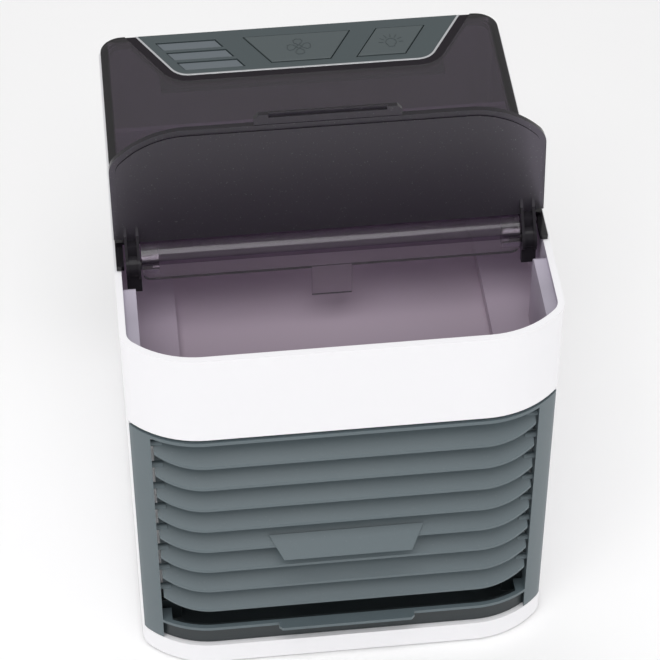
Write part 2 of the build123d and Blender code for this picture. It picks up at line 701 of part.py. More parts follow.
def control_board():
    """Circuit board under the panel, on four legs that hang from the panel."""
    mid_y = PANEL_REAR_Y - PANEL_DEPTH / 2
    board = Pos(0, mid_y - 0.5, BOARD_TOP - BOARD_T / 2) * Box(2 * BOARD_HALF_W, BOARD_DEPTH, BOARD_T)
    chip = Pos(-BOARD_HALF_W / 2, mid_y, BOARD_TOP + CHIP_T / 2) * Box(CHIP_SIZE, CHIP_SIZE, CHIP_T)
    front_x, rear_x = BOARD_HALF_W - 8.0, BOARD_HALF_W - 2.5
    length = PANEL_LOW - BOARD_TOP + BOARD_T / 2
    legs = [
        Pos(x, mid_y + y, BOARD_TOP - BOARD_T / 2) * extrude(Circle(LEG_R), length)
        for x, y in ((-front_x, -5.5), (front_x, -5.5), (-rear_x, 4.5), (rear_x, 4.5))
    ]
    return board + chip + legs


def tact_switches():
    """Two click switches below the keys."""
    pieces = []
    for face in (fan_key(), light_key()):
        centre = extrude(face, 1).bounding_box().center()
        half = SWITCH_SIZE / 2
        body = box(centre.X - half, centre.X + half, centre.Y - half, centre.Y + half,
                   BOARD_TOP, BOARD_TOP + SWITCH_H - SWITCH_KNOB_H)
        knob = Pos(centre.X, centre.Y, BOARD_TOP + SWITCH_H - SWITCH_KNOB_H) * extrude(
            Circle(SWITCH_KNOB_R), SWITCH_KNOB_H
        )
        pieces.append(body + knob)
    return pieces


# ---- Front drawer -------------------------------------------------------------------------
def front_bezel():
    """Drawer front: wrap-round posts, top rail, sill with the pull tab, pivot flanges."""
    frame = band(BEZEL_LOW, BEZEL_TOP, 0, BEZEL_T)
    frame &= box(-WIDTH, WIDTH, FRONT - 1, FRONT + BEZEL_DEPTH, 0, RIM)
    frame -= box(-OPENING_HALF_W, OPENING_HALF_W, FRONT - 1, 0, 0, BEZEL_TOP - BEZEL_RAIL_T)
    rail = prism(BEZEL_TOP - BEZEL_RAIL_T, BEZEL_TOP)
    rail &= box(-OPENING_HALF_W - 1, OPENING_HALF_W + 1, FRONT - 1, FRONT + BEZEL_RAIL_DEPTH, 0, RIM)
    wide = OPENING_HALF_W + CHEEK_FLANGE_T
    flange = box(OPENING_HALF_W, wide, FRONT, FRONT + CHEEK_FLANGE_BACK, BEZEL_LOW, BEZEL_TOP)
    flanges = sides(flange) & prism(BEZEL_LOW, BEZEL_TOP)
    sill = band(SILL_Z, SILL_Z + SILL_T, 0, SILL_DEPTH)
    sill &= box(-wide, wide, FRONT - 1, FRONT + BEZEL_DEPTH, 0, RIM)
    gusset = box(OPENING_HALF_W - GUSSET_W, OPENING_HALF_W + 1, FRONT + 2, FRONT + BEZEL_DEPTH - 1,
                 SILL_Z, SILL_Z + SILL_T)
    gussets = sides(gusset) & prism(SILL_Z, SILL_Z + SILL_T, 0.5)
    pull = box(-PULL_HALF_W, PULL_HALF_W, FRONT - PULL_REACH, FRONT + 1, SILL_Z, SILL_Z + SILL_T)
    pull = chamfer(pull.edges().filter_by(Axis.Z).group_by(Axis.Y)[0], PULL_CHAMFER)
    frame = frame + rail + flanges + sill + gussets + pull
    reach = wide + FIT_GAP
    holes = [
        rod((-reach, FRONT + PIVOT_BACK, z), PIVOT_R + PIVOT_CLEAR, 2 * reach, (1, 0, 0))
        for z in pivot_heights()
    ]
    return frame - holes


def drawer_tray():
    """Drip tray behind the drawer front: dark front wall, side walls and water basin."""
    low = BEZEL_LOW
    front_wall = band(low, SILL_Z, TRAY_INSET, TRAY_T)
    half = OPENING_HALF_W
    front_wall &= box(-half, half, FRONT, FRONT + BEZEL_DEPTH, 0, RIM)
    floor = prism(low, low + TRAY_T, TRAY_INSET)
    floor &= box(-half, half, FRONT, TRAY_JOIN_Y + 1, 0, RIM)
    back_y = FRONT + TRAY_LENGTH
    floor += box(-TRAY_HALF_W, TRAY_HALF_W, TRAY_JOIN_Y, back_y, low, low + TRAY_T)
    shoulder_y = FRONT + BEZEL_DEPTH + FIT_GAP
    wall = box(TRAY_HALF_W - TRAY_T, TRAY_HALF_W, shoulder_y, back_y, low, low + TRAY_WALL_H)
    shoulder = box(TRAY_HALF_W - TRAY_T, half, shoulder_y, shoulder_y + TRAY_T, low, low + TRAY_WALL_H)
    back = box(-TRAY_HALF_W, TRAY_HALF_W, back_y - TRAY_T, back_y, low, low + TRAY_WALL_H)
    stop_half = STOP_T / 2
    stops = [
        box(x - stop_half, x + stop_half, y, y + STOP_T, low + TRAY_T - 0.5,
            low + TRAY_WALL_H - STOP_BELOW_WALL)
        for x in (-STOP_X, 0, STOP_X)
        for y in (FILTER_FRONT_Y - STOP_T - FIT_GAP, FILTER_FRONT_Y + FILTER_DEPTH + FIT_GAP)
    ]
    return front_wall + floor + sides(wall) + sides(shoulder) + back + stops


def filter_frame():
    """Open plastic cartridge that stands in the tray and holds the wet paper fins."""
    low = BEZEL_LOW + TRAY_T
    y0, y1 = FILTER_FRONT_Y, FILTER_FRONT_Y + FILTER_DEPTH
    frame = box(-FILTER_HALF_W, FILTER_HALF_W, y0, y1, low, FILTER_TOP)
    frame -= box(-FILTER_HALF_W + FILTER_WALL, FILTER_HALF_W - FILTER_WALL, y0 - 1, y1 + 1,
                 low + FILTER_WALL, FILTER_TOP - FILTER_WALL)
    half = FILTER_HALF_W - TROUGH_END
    trough = box(-half, half, NOZZLE_Y - TROUGH_HALF_D, NOZZLE_Y + TROUGH_HALF_D,
                 FILTER_TOP - FILTER_WALL - 1, FILTER_TOP + 1)
    return frame - trough


def filter_fins():
    """Upright absorbent paper fins, edge-on to the air stream."""
    low = BEZEL_LOW + TRAY_T + FILTER_WALL
    span = 2 * (FILTER_HALF_W - FILTER_WALL)
    pitch = span / FIN_COUNT
    y0, y1 = FILTER_FRONT_Y + FIN_SETBACK, FILTER_FRONT_Y + FILTER_DEPTH - FIN_SETBACK
    fins = []
    for number in range(FIN_COUNT):
        x = -span / 2 + pitch * (number + 0.5)
        fins.append(box(x - FIN_T / 2, x + FIN_T / 2, y0, y1, low, FILTER_TOP - FILTER_WALL))
    return fins


# ---- Louvres ------------------------------------------------------------------------------
def pivot_heights():
    """Height of each slat's pivot line, from the top slat down."""
    rise = (PIVOT_BACK - SLAT_EDGE_IN) * tan(radians(SLAT_TILT_DEG))
    return [SLAT_TOP_EDGE - SLAT_PITCH * number + rise for number in range(SLATS)]


def crank_point(z):
    """Centre of the link hole behind a slat's pivot."""
    return (
        FRONT + PIVOT_BACK + CRANK * cos(radians(SLAT_TILT_DEG)),
        z + CRANK * sin(radians(SLAT_TILT_DEG)),
    )


def louvre_slat(number):
    """One air-guide slat: bowed blade, end pins and rear lug; one slat carries the finger tab."""
    z = pivot_heights()[number - 1]
    place = Pos(0, FRONT + PIVOT_BACK, z) * Rot(X=SLAT_TILT_DEG)
    blade = place * Box(2 * SLAT_HALF_W, 60, SLAT_T)
    region = prism(z - 20, z + 20, SLAT_EDGE_IN)
    region &= box(-SLAT_HALF_W, SLAT_HALF_W, FRONT - 1, FRONT + SLAT_REAR, z - 20, z + 20)
    blade &= region
    reach = OPENING_HALF_W + CHEEK_FLANGE_T - 0.2
    pin = rod((SLAT_HALF_W - PIN_ROOT, FRONT + PIVOT_BACK, z), PIVOT_R, reach - SLAT_HALF_W + PIN_ROOT,
              (1, 0, 0))
    lug_y, lug_z = crank_point(z)
    arm = place * Pos(0, CRANK / 2, 0) * Box(LUG_T, CRANK, ARM_T)
    eye = rod((-LUG_T / 2, lug_y, lug_z), LUG_R, LUG_T, (1, 0, 0))
    lug = Pos(LINK_X, 0, 0) * (arm + eye)
    slat = blade + sides(pin) + lug
    slat -= rod((LINK_X - LUG_T, lug_y, lug_z), LINK_PIN_R + LINK_PIN_CLEAR, 2 * LUG_T, (1, 0, 0))
    if number == TAB_SLAT:
        slat += place * finger_tab()
    return slat


def finger_tab():
    """Thin trapezoid that stands out past the blade's front edge, in the blade's own plane."""
    edge = -(PIVOT_BACK - SLAT_EDGE_IN) / cos(radians(SLAT_TILT_DEG))
    back, front = edge + TAB_BEHIND_EDGE, edge - TAB_REACH
    face = make_face(
        Polyline(
            (-TAB_HALF_BACK, back), (TAB_HALF_BACK, back),
            (TAB_HALF_FRONT, front), (-TAB_HALF_FRONT, front), close=True,
        )
    )
    return extrude(Pos(0, 0, SLAT_T / 2 - 0.4) * face, TAB_T)


def louvre_link():
    """Upright bar behind the slats that makes them tilt together."""
    heights = pivot_heights()
    y, top = crank_point(heights[0])
    bottom = crank_point(heights[-1])[1]
    x0 = LINK_X + LUG_T / 2 + FIT_GAP
    bar = box(x0, x0 + LINK_T, y - LINK_W / 2, y + LINK_W / 2, bottom - LINK_END, top + LINK_END)
    bar = fillet(bar.edges().filter_by(Axis.X), LINK_CORNER_R)
    for z in heights:
        pin_y, pin_z = crank_point(z)
        bar += rod((x0 + 0.5, pin_y, pin_z), LINK_PIN_R, -(LUG_T + FIT_GAP + 1.1), (1, 0, 0))
    return bar


# ---- Fan ----------------------------------------------------------------------------------
def fan_shroud():
    """Round duct with corner ears and a spider that carries the motor."""
    y0 = DUCT_BACK_Y - DUCT_LENGTH
    half = EAR_OFFSET + EAR_MARGIN
    plate = box(-half, half, DUCT_BACK_Y - EAR_PLATE_T, DUCT_BACK_Y, FAN_Z - half, FAN_Z + half)
    plate = fillet(plate.edges().filter_by(Axis.Y), EAR_CORNER_R)
    body = disc(DUCT_R + DUCT_WALL, y0, DUCT_LENGTH) + plate
    body -= disc(DUCT_R, y0 - 1, DUCT_LENGTH + 2)
    spider_y = DUCT_BACK_Y - SPIDER_DEPTH
    body += disc(MOTOR_R + CUP_WALL, spider_y, SPIDER_DEPTH)
    arm_half = SPIDER_ARM_W / 2
    arm = box(-arm_half, arm_half, spider_y, DUCT_BACK_Y - 0.2, MOTOR_R + 1, DUCT_R + 1)
    for number in range(SPIDER_ARMS):
        body += Pos(0, 0, FAN_Z) * Rot(Y=360 / SPIDER_ARMS * number) * arm
    body -= disc(MOTOR_R, spider_y - 1, MOTOR_BACK_Y - spider_y + 1)
    for x, z in ear_spots():
        body -= rod((x, DUCT_BACK_Y + 1, z), SCREW_R + SCREW_CLEAR, -8, (0, 1, 0))
    return body


def fan_motor():
    """Small can motor with its shaft pointing forwards."""
    can = disc(MOTOR_R, MOTOR_FRONT_Y, MOTOR_LEN)
    can = chamfer(can.edges().group_by(Axis.Y)[0], 1.0)
    boss = disc(MOTOR_BOSS_R, MOTOR_FRONT_Y + 0.5, -1.5)
    shaft = disc(SHAFT_R, MOTOR_FRONT_Y + 0.5, -SHAFT_LEN - 0.5)
    return can + boss + shaft


def fan_impeller():
    """Axial fan wheel: cupped hub over the motor's front and twisted blades."""
    hub_front = MOTOR_FRONT_Y - HUB_AHEAD
    hub = disc(HUB_R, hub_front, HUB_LEN)
    hub = fillet(hub.edges().group_by(Axis.Y)[0], HUB_EDGE_R)
    hub -= disc(HUB_R - HUB_WALL, hub_front + HUB_FACE_T, HUB_LEN)
    wheel = hub + disc(HUB_SOCKET_R, hub_front + 1, HUB_SOCKET_LEN)
    span = BLADE_TIP_R - HUB_R + 0.6
    blade = Pos(0, 0, (HUB_R + BLADE_TIP_R) / 2 - 0.4) * Rot(Z=BLADE_PITCH_DEG) * Box(
        BLADE_CHORD, BLADE_T, span
    )
    limit = rod((0, -HUB_LEN / 2, 0), BLADE_TIP_R, HUB_LEN, (0, 1, 0))
    blade &= limit
    for number in range(BLADES):
        wheel += Pos(0, hub_front + HUB_LEN / 2, FAN_Z) * Rot(Y=360 / BLADES * number) * blade
    return wheel - disc(SHAFT_R + SHAFT_CLEAR, hub_front + 1.2, SHAFT_LEN)


def fan_screws():
    """Short screws through the fan's ears into the back wall's bosses."""
    turned = Rot(X=-90) * screw(FAN_SCREW_LEN)
    return [Pos(x, DUCT_BACK_Y - EAR_PLATE_T, z) * turned for x, z in ear_spots()]


# ---- Power inlet and night light ----------------------------------------------------------
def power_board():
    """Small board low in the back of the casing that carries the inlet."""
    y1 = BACK - WALL - 1.0
    z = SOCKET_Z - SOCKET_H / 2
    half = POWER_BOARD_W / 2
    board = box(SOCKET_X - half, SOCKET_X + half, y1 - POWER_BOARD_D, y1, z - BOARD_T, z)
    coil = Pos(SOCKET_X - COIL_R, y1 - 0.65 * POWER_BOARD_D, z) * extrude(Circle(COIL_R), COIL_H)
    posts = [
        Pos(SOCKET_X + x, y1 - POWER_BOARD_D + 3, BASE_TOP) * extrude(Circle(POST_R), z - BASE_TOP)
        for x in (-POST_X, POST_X)
    ]
    return board + coil + posts


def power_socket():
    """Micro-size power inlet: folded steel shell with an open mouth and contact tongue."""
    y1 = BACK - SOCKET_SINK
    shell = Pos(SOCKET_X, y1 - SOCKET_D / 2, SOCKET_Z) * Box(SOCKET_W, SOCKET_D, SOCKET_H)
    shell = fillet(shell.edges().filter_by(Axis.Y), SOCKET_CORNER_R)
    hollow = Box(SOCKET_W - 2 * SOCKET_WALL, 2 * (SOCKET_D - 1), SOCKET_H - 2 * SOCKET_WALL)
    tongue = Pos(SOCKET_X, y1 - SOCKET_D / 2 - 0.3, SOCKET_Z) * Box(
        SOCKET_TONGUE_W, SOCKET_D - 1.8, SOCKET_TONGUE_T
    )
    return shell - Pos(SOCKET_X, y1, SOCKET_Z) * hollow + tongue


def light_board():
    """Narrow strip board under the tank floor for the night light."""
    length = LED_PITCH * (LED_COUNT - 1) + 2 * STRIP_END
    return Pos(0, STRIP_Y, SEAM - BOARD_T / 2) * Box(length, STRIP_DEPTH, BOARD_T)


def light_leds():
    """Row of light-emitting diodes on the strip board."""
    start = -LED_PITCH * (LED_COUNT - 1) / 2
    z = SEAM - BOARD_T - LED_T / 2
    led = Box(LED_SIZE, LED_SIZE, LED_T)
    return [Pos(start + LED_PITCH * number, STRIP_Y, z) * led for number in range(LED_COUNT)]


PIECES = {
    "base_plate": base_plate,
    "rubber_feet": rubber_feet,
    "case_screws": case_screws,
    "rear_shell": rear_shell,
    "rear_grille": rear_grille,
    "water_tank": water_tank,
    "drip_nozzles": drip_nozzles,
    "deck_cover": deck_cover,
    "flap_lid": flap_lid,
    "control_panel": control_panel,
    "panel_trim": panel_trim,
    "level_bars": level_bars,
    "fan_button": fan_button,
    "light_button": light_button,
    "control_board": control_board,
    "tact_switches": tact_switches,
    "front_bezel": front_bezel,
    "drawer_tray": drawer_tray,
    "filter_frame": filter_frame,
    "filter_fins": filter_fins,
    "louvre_link": louvre_link,
    "fan_shroud": fan_shroud,
    "fan_motor": fan_motor,
    "fan_impeller": fan_impeller,
    "fan_screws": fan_screws,
    "power_board": power_board,
    "power_socket": power_socket,
    "light_board": light_board,
    "light_leds": light_leds,
}


def write_piece(name, made):
    """Save one node; a group of separate solids goes into one file."""
    shape = Compound(children=list(made)) if isinstance(made, list) else made
    export_step(shape, f"parts/{name}.step")


os.makedirs("parts", exist_ok=True)
for piece_name, maker in PIECES.items():
    write_piece(piece_name, maker())
for slat_number in range(1, SLATS + 1):
    write_piece(f"louvre_slat_{slat_number}", louvre_slat(slat_number))
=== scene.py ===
import math

import bmesh
import bpy
from mathutils import Matrix, Vector


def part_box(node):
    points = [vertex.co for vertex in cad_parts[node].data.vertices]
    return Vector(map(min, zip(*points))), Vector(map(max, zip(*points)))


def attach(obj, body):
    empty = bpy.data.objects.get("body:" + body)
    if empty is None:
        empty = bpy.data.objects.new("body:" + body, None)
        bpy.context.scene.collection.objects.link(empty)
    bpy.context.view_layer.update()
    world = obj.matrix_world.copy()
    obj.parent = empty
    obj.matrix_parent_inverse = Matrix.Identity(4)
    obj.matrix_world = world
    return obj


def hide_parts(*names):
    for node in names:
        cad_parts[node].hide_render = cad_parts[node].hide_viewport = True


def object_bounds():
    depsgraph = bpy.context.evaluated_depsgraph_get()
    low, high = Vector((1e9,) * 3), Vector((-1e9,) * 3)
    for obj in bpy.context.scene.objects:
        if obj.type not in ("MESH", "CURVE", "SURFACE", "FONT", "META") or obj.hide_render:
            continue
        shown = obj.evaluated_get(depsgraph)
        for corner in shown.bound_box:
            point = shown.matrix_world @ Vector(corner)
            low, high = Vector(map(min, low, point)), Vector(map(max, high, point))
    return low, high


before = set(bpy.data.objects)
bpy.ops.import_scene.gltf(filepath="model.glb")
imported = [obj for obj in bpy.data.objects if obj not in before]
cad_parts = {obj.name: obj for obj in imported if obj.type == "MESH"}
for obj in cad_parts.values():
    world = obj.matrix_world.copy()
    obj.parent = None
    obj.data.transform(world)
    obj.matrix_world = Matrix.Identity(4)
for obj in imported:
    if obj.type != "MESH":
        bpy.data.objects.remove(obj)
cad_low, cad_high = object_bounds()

# ---- Studio -------------------------------------------------------------------------------
# A pale table top that runs on far past the cooler, lit by a large soft box overhead, a weaker
# one at each side and an even pale room. A long lens looks down on it from the front.
FLOOR_REACH = 6.0
floor_corners = [
    (across * FLOOR_REACH, along * FLOOR_REACH, 0)
    for across, along in ((-1, -1), (1, -1), (1, 1), (-1, 1))
]
floor_mesh = bpy.data.meshes.new("studio_floor")
floor_mesh.from_pydata(floor_corners, [], [(0, 1, 2, 3)])
floor = bpy.data.objects.new("studio_floor", floor_mesh)
bpy.context.scene.collection.objects.link(floor)
floor_paint = bpy.data.materials.new("studio_white")
floor_paint.use_nodes = True
floor_shader = floor_paint.node_tree.nodes["Principled BSDF"]
floor_shader.inputs["Base Color"].default_value = (0.99, 0.99, 0.99, 1)
floor_shader.inputs["Roughness"].default_value = 0.9
floor_mesh.materials.append(floor_paint)

room = bpy.data.worlds.new("studio_room")
room.use_nodes = True
room_light = room.node_tree.nodes["Background"]
room_light.inputs["Color"].default_value = (1.0, 0.995, 1.0, 1)
room_light.inputs["Strength"].default_value = 0.63
bpy.context.scene.world = room
bpy.context.scene.view_settings.view_transform = "Standard"

cooler_middle = (Vector(cad_low) + Vector(cad_high)) / 2
for name, place, size, power in (
    ("soft_box_top", (-0.15, -0.45, 1.35), 0.9, 7.1),
    ("soft_box_left", (-1.0, -0.8, 0.55), 0.8, 2.1),
    ("soft_box_right", (1.0, -0.7, 0.6), 0.8, 2.1),
):
    lamp = bpy.data.lights.new(name, "AREA")
    lamp.shape = "SQUARE"
    lamp.size = size
    lamp.energy = power
    box = bpy.data.objects.new(name, lamp)
    box.location = place
    box.rotation_euler = (cooler_middle - Vector(place)).to_track_quat("-Z", "Y").to_euler()
    bpy.context.scene.collection.objects.link(box)

lens = bpy.data.cameras.new("studio_camera")
lens.lens = 145.2
lens.sensor_width = 36.0
camera = bpy.data.objects.new("studio_camera", lens)
camera.location = (-0.0721, -0.6932, 0.7933)
looking = Vector((0.0756, 0.6978, -0.7123))
camera.rotation_euler = looking.to_track_quat("-Z", "Y").to_euler()
bpy.context.scene.collection.objects.link(camera)
bpy.context.scene.camera = camera

# ---- White casing -------------------------------------------------------------------------
# Base, U-shaped lower shell and water tank: injection-moulded white ABS with a fine satin
# grain, stacked on each other and clamped by four long screws from underneath.
def link_into(group, *pairs):
    """Joins sockets inside a node tree, given as (from, to) pairs."""
    for source, target in pairs:
        group.links.new(source, target)


def build_moulded_skin():
    """Shader group for moulded plastic: cloudy tone, uneven sheen, pore height and settled dust."""
    group = bpy.data.node_groups.new("moulded_skin", "ShaderNodeTree")
    for label, kind, value in (
        ("Colour", "NodeSocketColor", (0.8, 0.8, 0.8, 1)),
        ("Roughness", "NodeSocketFloat", 0.4),
        ("Cloud", "NodeSocketFloat", 0.04),
        ("Pore Scale", "NodeSocketFloat", 2600.0),
        ("Dust", "NodeSocketFloat", 0.0),
    ):
        socket = group.interface.new_socket(label, in_out="INPUT", socket_type=kind)
        socket.default_value = value
    for label, kind in (
        ("Colour", "NodeSocketColor"),
        ("Roughness", "NodeSocketFloat"),
        ("Height", "NodeSocketFloat"),
    ):
        group.interface.new_socket(label, in_out="OUTPUT", socket_type=kind)
    nodes = group.nodes
    enter = nodes.new("NodeGroupInput")
    leave = nodes.new("NodeGroupOutput")
    place = nodes.new("ShaderNodeTexCoord")
    clouds = nodes.new("ShaderNodeTexNoise")
    clouds.inputs["Scale"].default_value = 38.0
    clouds.inputs["Detail"].default_value = 4.0
    pores = nodes.new("ShaderNodeTexNoise")
    pores.inputs["Detail"].default_value = 2.0
    specks = nodes.new("ShaderNodeTexNoise")
    specks.inputs["Scale"].default_value = 1700.0
    specks.inputs["Detail"].default_value = 1.0
    speck_cut = nodes.new("ShaderNodeMapRange")
    speck_cut.inputs["From Min"].default_value = 0.715
    speck_cut.inputs["From Max"].default_value = 0.745
    speck_level = nodes.new("ShaderNodeMath")
    speck_level.operation = "MULTIPLY"
    centred = nodes.new("ShaderNodeMath")
    centred.operation = "SUBTRACT"
    centred.inputs[1].default_value = 0.5
    tone = nodes.new("ShaderNodeMath")
    tone.operation = "MULTIPLY_ADD"
    tone.inputs[2].default_value = 1.0
    shade = nodes.new("ShaderNodeVectorMath")
    shade.operation = "SCALE"
    dusty = nodes.new("ShaderNodeMix")
    dusty.data_type = "RGBA"
    dusty.inputs["B"].default_value = (0.62, 0.62, 0.64, 1)
    rough = nodes.new("ShaderNodeMath")
    rough.operation = "MULTIPLY_ADD"
    rough.inputs[1].default_value = 0.12
    link_into(
        group,
        (place.outputs["Object"], clouds.inputs["Vector"]),
        (place.outputs["Object"], pores.inputs["Vector"]),
        (place.outputs["Object"], specks.inputs["Vector"]),
        (enter.outputs["Pore Scale"], pores.inputs["Scale"]),
        (clouds.outputs["Fac"], centred.inputs[0]),
        (centred.outputs[0], tone.inputs[0]),
        (enter.outputs["Cloud"], tone.inputs[1]),
        (enter.outputs["Colour"], shade.inputs[0]),
        (tone.outputs[0], shade.inputs["Scale"]),
        (specks.outputs["Fac"], speck_cut.inputs["Value"]),
        (speck_cut.outputs["Result"], speck_level.inputs[0]),
        (enter.outputs["Dust"], speck_level.inputs[1]),
        (speck_level.outputs[0], dusty.inputs["Factor"]),
        (shade.outputs["Vector"], dusty.inputs["A"]),
        (dusty.outputs["Result"], leave.inputs["Colour"]),
        (centred.outputs[0], rough.inputs[0]),
        (enter.outputs["Roughness"], rough.inputs[2]),
        (rough.outputs[0], leave.inputs["Roughness"]),
        (pores.outputs["Fac"], leave.inputs["Height"]),
    )
    return group


moulded_skin = build_moulded_skin()


def moulded(name, colour, roughness, cloud=0.05, pore=2600.0, depth=0.02, dust=0.0, **sockets):
    """Material of one moulded plastic or metal: its colour and sheen run through the skin group."""
    paint = bpy.data.materials.new(name)
    paint.use_nodes = True
    tree = paint.node_tree
    shader = tree.nodes["Principled BSDF"]
    skin = tree.nodes.new("ShaderNodeGroup")
    skin.node_tree = moulded_skin
    skin.inputs["Colour"].default_value = (*colour, 1)
    skin.inputs["Roughness"].default_value = roughness
    skin.inputs["Cloud"].default_value = cloud
    skin.inputs["Pore Scale"].default_value = pore
    skin.inputs["Dust"].default_value = dust
    bump = tree.nodes.new("ShaderNodeBump")
    bump.inputs["Strength"].default_value = depth
    bump.inputs["Distance"].default_value = 0.0004
    link_into(
        tree,
        (skin.outputs["Colour"], shader.inputs["Base Color"]),
        (skin.outputs["Roughness"], shader.inputs["Roughness"]),
        (skin.outputs["Height"], bump.inputs["Height"]),
        (bump.outputs["Normal"], shader.inputs["Normal"]),
    )
    for label, value in sockets.items():
        shader.inputs[label.replace("_", " ")].default_value = value
    return paint


def plain_mesh(piece):
    """A new mesh that holds the piece with its modifiers worked in."""
    graph = bpy.context.evaluated_depsgraph_get()
    return bpy.data.meshes.new_from_object(piece.evaluated_get(graph))


def apply_modifiers(piece):
    """Turns a mesh piece's modifiers into plain mesh."""
    plain = plain_mesh(piece)
    piece.modifiers.clear()
    piece.data = plain


WELD_GAP = 2e-6
FLAT_ANGLE = 0.002


def softened(node, paint, rounding, body, steps=2, angle=32.0, others=()):
    """A moulded piece with its sharp edges broken: the node's own surface, welded and rounded.

    rounding is in metres, and angle is the least corner, in degrees, that is rounded.
    others: pairs of (material, test), where test takes a face's centre in metres and its normal.
    """
    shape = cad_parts[node].data.copy()
    shape.name = node + "_moulded"
    welded = bmesh.new()
    welded.from_mesh(shape)
    bmesh.ops.remove_doubles(welded, verts=welded.verts, dist=WELD_GAP)
    flat = [
        edge for edge in welded.edges
        if len(edge.link_faces) == 2 and edge.calc_face_angle(1.0) < FLAT_ANGLE
    ]
    bmesh.ops.dissolve_edges(welded, edges=flat, use_verts=False, use_face_split=False)
    bmesh.ops.dissolve_limit(welded, angle_limit=FLAT_ANGLE, use_dissolve_boundaries=False,
                             verts=welded.verts, edges=welded.edges)
    welded.to_mesh(shape)
    welded.free()
    piece = bpy.data.objects.new(node + "_moulded", shape)
    bpy.context.scene.collection.objects.link(piece)
    shape.materials.clear()
    shape.materials.append(paint)
    round_edges = piece.modifiers.new("broken_edges", "BEVEL")
    round_edges.width = rounding
    round_edges.segments = steps
    round_edges.limit_method = "ANGLE"
    round_edges.angle_limit = math.radians(angle)
    round_edges.use_clamp_overlap = True
    round_edges.harden_normals = False
    apply_modifiers(piece)
    piece.data.polygons.foreach_set("use_smooth", [True] * len(piece.data.polygons))
    smooth = piece.modifiers.new("even_shading", "WEIGHTED_NORMAL")
    smooth.keep_sharp = False
    smooth.weight = 80
    apply_modifiers(piece)
    for extra, belongs in others:
        piece.data.materials.append(extra)
        index = len(piece.data.materials) - 1
        for face in piece.data.polygons:
            if belongs(face.center, face.normal):
                face.material_index = index
    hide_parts(node)
    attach(piece, body)


CASING_EDGE = 0.0005
casing_white = moulded("casing_white", (0.90, 0.895, 0.915), 0.34, cloud=0.02, depth=0.03,
                       Coat_Weight=0.08, Coat_Roughness=0.25)
for part_name in ("base_plate", "rear_shell"):
    softened(part_name, casing_white, CASING_EDGE, "casing")

# ---- Water tank ---------------------------------------------------------------------------
# The upper part of the casing: white ABS like the rest. Inside, the walls and floor carry
# painted lilac-grey shade that deepens from the rim downwards, and painted light makes it
# lighter towards the back. Lengths here run from the tank's front face.
tank_low, tank_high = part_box("water_tank")
seam_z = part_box("rear_shell")[1].z
WATER_REAR = 0.1190
WATER_MIDDLE = 0.0645
LIGHTER_FROM = 0.0245
LIGHTER_TO = 0.0625
SHADE_RAMP_OVER_SEAM = 0.006
SHADE_RAMP_OVER_RIM = 0.002
# Colours of the painted shade inside the tank, from the floor up to the rim.
FLOOR_PAINTED_SHADE = (0.415, 0.345, 0.410, 1)
WALL_PAINTED_SHADE = (0.40, 0.345, 0.435, 1)
RIM_PAINTED_SHADE = (0.53, 0.49, 0.58, 1)
WALL_MARGIN = 0.0005
RIM_MARGIN = 0.0004


def painted_tank_shade():
    """The tank's plastic with painted shade inside, darker from the rim down to the floor."""
    paint = moulded("tank_inside_painted_shade", (0.9, 0.9, 0.9), 0.36, cloud=0.03, depth=0.03)
    tree = paint.node_tree
    place = tree.nodes.new("ShaderNodeTexCoord")
    split = tree.nodes.new("ShaderNodeSeparateXYZ")
    drift = tree.nodes.new("ShaderNodeTexNoise")
    drift.inputs["Scale"].default_value = 22.0
    blur = tree.nodes.new("ShaderNodeMath")
    blur.operation = "MULTIPLY_ADD"
    blur.inputs[1].default_value = 0.008
    # Painted shade by height: the colour darkens from the rim down to the floor.
    ramp = tree.nodes.new("ShaderNodeValToRGB")
    ramp.color_ramp.elements[0].color = FLOOR_PAINTED_SHADE
    ramp.color_ramp.elements[1].color = RIM_PAINTED_SHADE
    half_way = ramp.color_ramp.elements.new(0.55)
    half_way.color = WALL_PAINTED_SHADE
    # Painted light and shade along the tank: darker near the front wall, lighter towards the back
    # under the deck.
    back_painted_light = tree.nodes.new("ShaderNodeMapRange")
    back_painted_light.inputs["From Min"].default_value = tank_low.y + LIGHTER_FROM
    back_painted_light.inputs["From Max"].default_value = tank_low.y + LIGHTER_TO
    back_painted_light.inputs["To Min"].default_value = 0.72
    back_painted_light.inputs["To Max"].default_value = 1.30
    paler = tree.nodes.new("ShaderNodeVectorMath")
    paler.operation = "SCALE"
    level = tree.nodes.new("ShaderNodeMapRange")
    level.inputs["From Min"].default_value = seam_z + SHADE_RAMP_OVER_SEAM
    level.inputs["From Max"].default_value = tank_high.z + SHADE_RAMP_OVER_RIM
    link_into(
        tree,
        (place.outputs["Object"], split.inputs["Vector"]),
        (place.outputs["Object"], drift.inputs["Vector"]),
        (drift.outputs["Fac"], blur.inputs[0]),
        (split.outputs["Z"], blur.inputs[2]),
        (blur.outputs[0], level.inputs["Value"]),
        (level.outputs["Result"], ramp.inputs["Fac"]),
        (split.outputs["Y"], back_painted_light.inputs["Value"]),
        (ramp.outputs["Color"], paler.inputs[0]),
        (back_painted_light.outputs["Result"], paler.inputs["Scale"]),
        (paler.outputs["Vector"], tree.nodes["Group"].inputs["Colour"]),
    )
    return paint


def inside_tank(centre, normal):
    """Faces that look into the water space, not the rim or the outer walls."""
    from_front = centre.y - tank_low.y
    at_wall_height = seam_z + WALL_MARGIN <= centre.z <= tank_high.z - RIM_MARGIN
    if not at_wall_height or from_front > WATER_REAR + WALL_MARGIN:
        return False
    to_middle = Vector((-centre.x, WATER_MIDDLE - from_front, 0.0))
    faces_up = normal.z > 0.5
    faces_in = normal.dot(to_middle) > WALL_MARGIN
    return faces_up or faces_in


# The faces inside the tank take the painted shade.
softened("water_tank", casing_white, CASING_EDGE, "casing", others=((painted_tank_shade(), inside_tank),))

